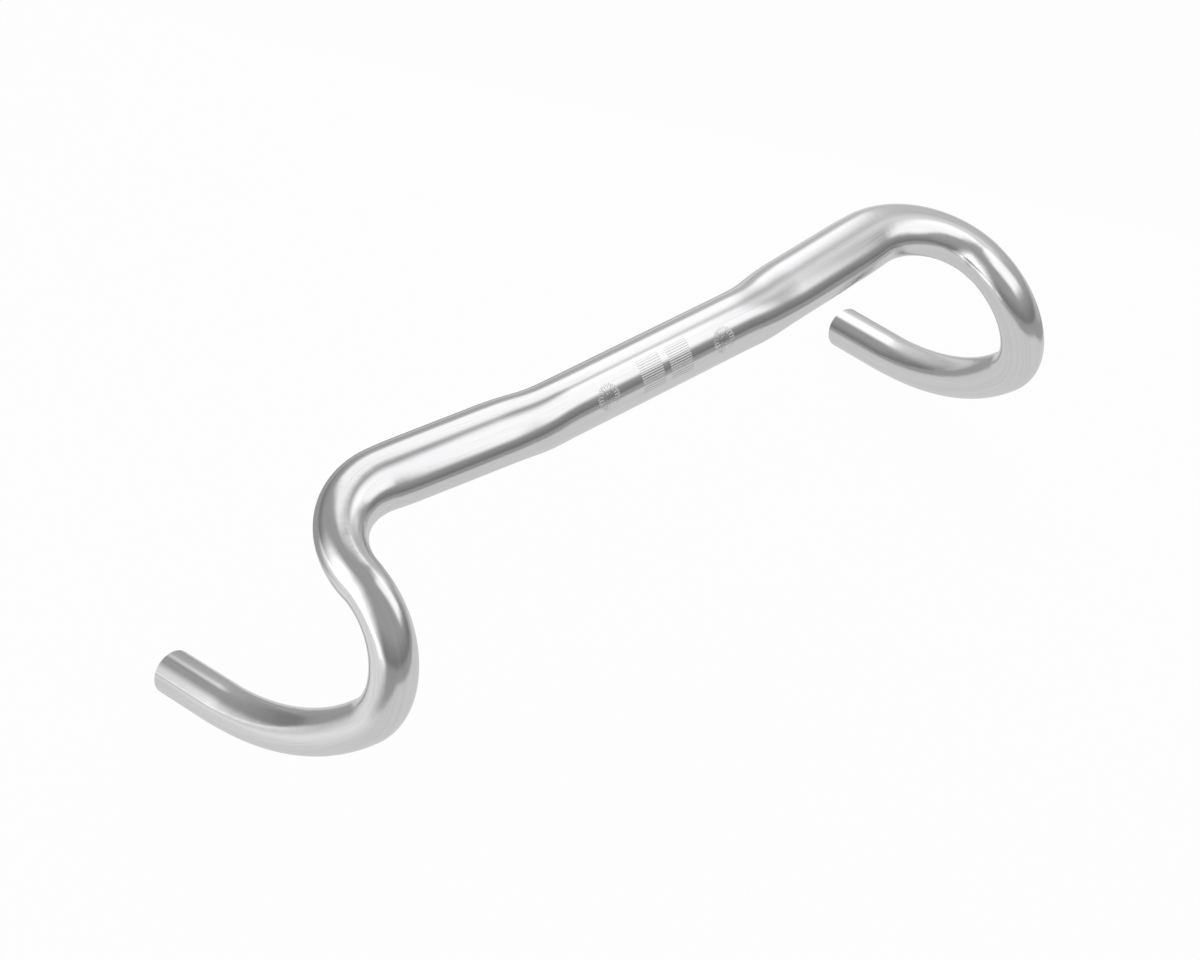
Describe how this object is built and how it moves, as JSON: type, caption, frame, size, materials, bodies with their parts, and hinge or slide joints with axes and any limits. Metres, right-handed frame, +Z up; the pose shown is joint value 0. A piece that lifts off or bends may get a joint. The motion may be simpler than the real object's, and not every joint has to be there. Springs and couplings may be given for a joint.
{
  "type": "drop handlebar",
  "caption": "One-piece swept drop handlebar for a touring bicycle, with a round clamp zone, oval tops and flared drops.",
  "frame": {"origin": "centre of the bar: on the axis of the stem's clamp seat, midway along it", "axes": "+X along the clamp seat, towards the rider's right hand; +Y forward, the way the drops reach; +Z up with the tops level, square to the clamp seat"},
  "size_m": [0.5034, 0.1588, 0.1618],
  "materials": {
    "alloy": "polished"
  },
  "bodies": {
    "root": {"handlebar": "alloy"}
  },
  "joints": []
}
